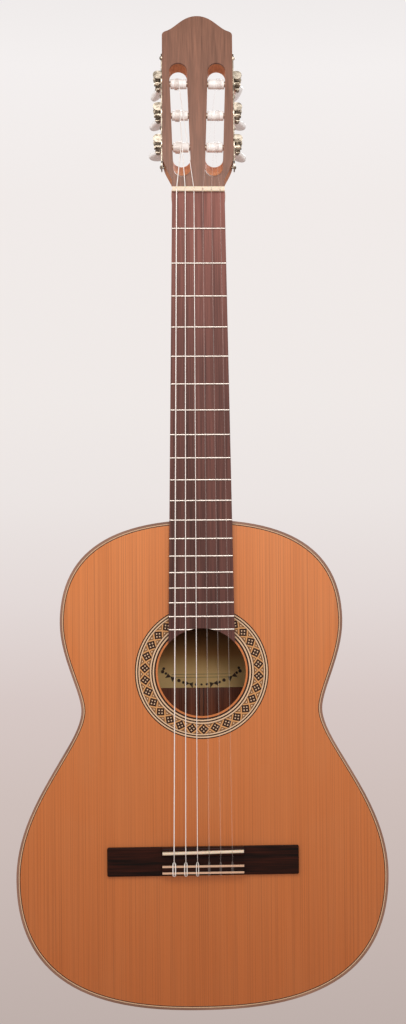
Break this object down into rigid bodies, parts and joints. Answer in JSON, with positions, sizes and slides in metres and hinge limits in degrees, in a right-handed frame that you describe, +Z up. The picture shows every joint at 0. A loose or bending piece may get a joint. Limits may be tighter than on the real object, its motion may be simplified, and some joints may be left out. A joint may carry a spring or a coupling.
{
  "type": "classical guitar",
  "caption": "Classical guitar with a cedar soundboard, mosaic rosette, slotted head, geared tuning machines with pearl buttons, and nylon and wound strings.",
  "frame": {"origin": "middle of the nut's front edge, in the plane of the fingerboard's face, where a neck hanger takes hold", "axes": "+Z up along the neck towards the head, +Y from the front to the back of the body, +X towards the treble side"},
  "size_m": [0.3686, 0.1191, 0.9985],
  "materials": {
    "cedar_top": "satin lacquer over red cedar",
    "rosette_inlay": "satin, wood mosaic",
    "purfling": "satin, light and dark lines",
    "binding": "gloss lacquer over dark wood",
    "back_and_sides": "gloss lacquer over reddish brown wood",
    "inner_wood": "bare spruce and cedar",
    "label_paper": "matt aged paper",
    "neck_wood": "satin lacquer",
    "head_veneer": "satin lacquer over rosewood veneer",
    "fingerboard": "oiled rosewood",
    "bridge_wood": "oiled dark rosewood",
    "fret_metal": "polished nickel silver",
    "bone": "polished bone",
    "tuner_brass": "polished lacquered brass",
    "roller_plastic": "ivory coloured plastic",
    "pearl_button": "pearl coloured plastic",
    "nylon_string": "clear nylon",
    "wound_string": "silver plated wire winding"
  },
  "bodies": {
    "root": {"soundboard": "cedar_top", "rosette": "rosette_inlay", "purfling_top": "purfling", "binding_top": "binding", "binding_back": "binding", "side_bass": "back_and_sides", "side_treble": "back_and_sides", "back_plate": "back_and_sides", "back_centre_strip": "binding", "linings": "inner_wood", "end_block": "inner_wood", "neck_block": "inner_wood", "fan_braces": "inner_wood", "harmonic_bars": "inner_wood", "back_bars": "inner_wood", "bridge_patch": "inner_wood", "soundhole_label": "label_paper", "neck": "neck_wood", "heel_cap": "head_veneer", "headstock": "neck_wood", "head_veneer": "head_veneer", "fingerboard": "fingerboard", "frets": "fret_metal", "nut": "bone", "saddle": "bone", "bridge": "bridge_wood", "tie_block_strips": "bone", "tuner_plate_bass": "tuner_brass", "tuner_plate_treble": "tuner_brass", "tuner_plate_screws": "tuner_brass", "string_1": "nylon_string", "string_2": "nylon_string", "string_3": "nylon_string", "string_4": "wound_string", "string_5": "wound_string", "string_6": "wound_string"},
    "winder_6": {"tuner_gear_6": "tuner_brass", "string_roller_6": "roller_plastic"},
    "key_6": {"tuner_worm_6": "tuner_brass", "tuner_button_6": "pearl_button"},
    "winder_5": {"tuner_gear_5": "tuner_brass", "string_roller_5": "roller_plastic"},
    "key_5": {"tuner_worm_5": "tuner_brass", "tuner_button_5": "pearl_button"},
    "winder_4": {"tuner_gear_4": "tuner_brass", "string_roller_4": "roller_plastic"},
    "key_4": {"tuner_worm_4": "tuner_brass", "tuner_button_4": "pearl_button"},
    "winder_3": {"tuner_gear_3": "tuner_brass", "string_roller_3": "roller_plastic"},
    "key_3": {"tuner_worm_3": "tuner_brass", "tuner_button_3": "pearl_button"},
    "winder_2": {"tuner_gear_2": "tuner_brass", "string_roller_2": "roller_plastic"},
    "key_2": {"tuner_worm_2": "tuner_brass", "tuner_button_2": "pearl_button"},
    "winder_1": {"tuner_gear_1": "tuner_brass", "string_roller_1": "roller_plastic"},
    "key_1": {"tuner_worm_1": "tuner_brass", "tuner_button_1": "pearl_button"}
  },
  "joints": [
    {"name": "roller_turn_6", "type": "hinge", "parent": "root", "child": "winder_6", "pos_m": [0, 0.02594, 0.04864], "axis": [1, 0, 0], "continuous": true},
    {"name": "button_turn_6", "type": "hinge", "parent": "root", "child": "key_6", "pos_m": [-0.0404, 0.02791, 0.05598], "axis": [0, -0.9659, 0.2588], "continuous": true},
    {"name": "roller_turn_5", "type": "hinge", "parent": "root", "child": "winder_5", "pos_m": [0, 0.035, 0.08245], "axis": [1, 0, 0], "continuous": true},
    {"name": "button_turn_5", "type": "hinge", "parent": "root", "child": "key_5", "pos_m": [-0.0404, 0.03697, 0.08979], "axis": [0, -0.9659, 0.2588], "continuous": true},
    {"name": "roller_turn_4", "type": "hinge", "parent": "root", "child": "winder_4", "pos_m": [0, 0.04406, 0.11626], "axis": [1, 0, 0], "continuous": true},
    {"name": "button_turn_4", "type": "hinge", "parent": "root", "child": "key_4", "pos_m": [-0.0404, 0.04603, 0.1236], "axis": [0, -0.9659, 0.2588], "continuous": true},
    {"name": "roller_turn_3", "type": "hinge", "parent": "root", "child": "winder_3", "pos_m": [0, 0.04406, 0.11626], "axis": [1, 0, 0], "continuous": true},
    {"name": "button_turn_3", "type": "hinge", "parent": "root", "child": "key_3", "pos_m": [0.0404, 0.04603, 0.1236], "axis": [0, -0.9659, 0.2588], "continuous": true},
    {"name": "roller_turn_2", "type": "hinge", "parent": "root", "child": "winder_2", "pos_m": [0, 0.035, 0.08245], "axis": [1, 0, 0], "continuous": true},
    {"name": "button_turn_2", "type": "hinge", "parent": "root", "child": "key_2", "pos_m": [0.0404, 0.03697, 0.08979], "axis": [0, -0.9659, 0.2588], "continuous": true},
    {"name": "roller_turn_1", "type": "hinge", "parent": "root", "child": "winder_1", "pos_m": [0, 0.02594, 0.04864], "axis": [1, 0, 0], "continuous": true},
    {"name": "button_turn_1", "type": "hinge", "parent": "root", "child": "key_1", "pos_m": [0.0404, 0.02791, 0.05598], "axis": [0, -0.9659, 0.2588], "continuous": true}
  ],
  "couplings": [
    {"joint": "button_turn_6", "follows": "roller_turn_6", "ratio": 14},
    {"joint": "button_turn_5", "follows": "roller_turn_5", "ratio": 14},
    {"joint": "button_turn_4", "follows": "roller_turn_4", "ratio": 14},
    {"joint": "button_turn_3", "follows": "roller_turn_3", "ratio": -14},
    {"joint": "button_turn_2", "follows": "roller_turn_2", "ratio": -14},
    {"joint": "button_turn_1", "follows": "roller_turn_1", "ratio": -14}
  ]
}
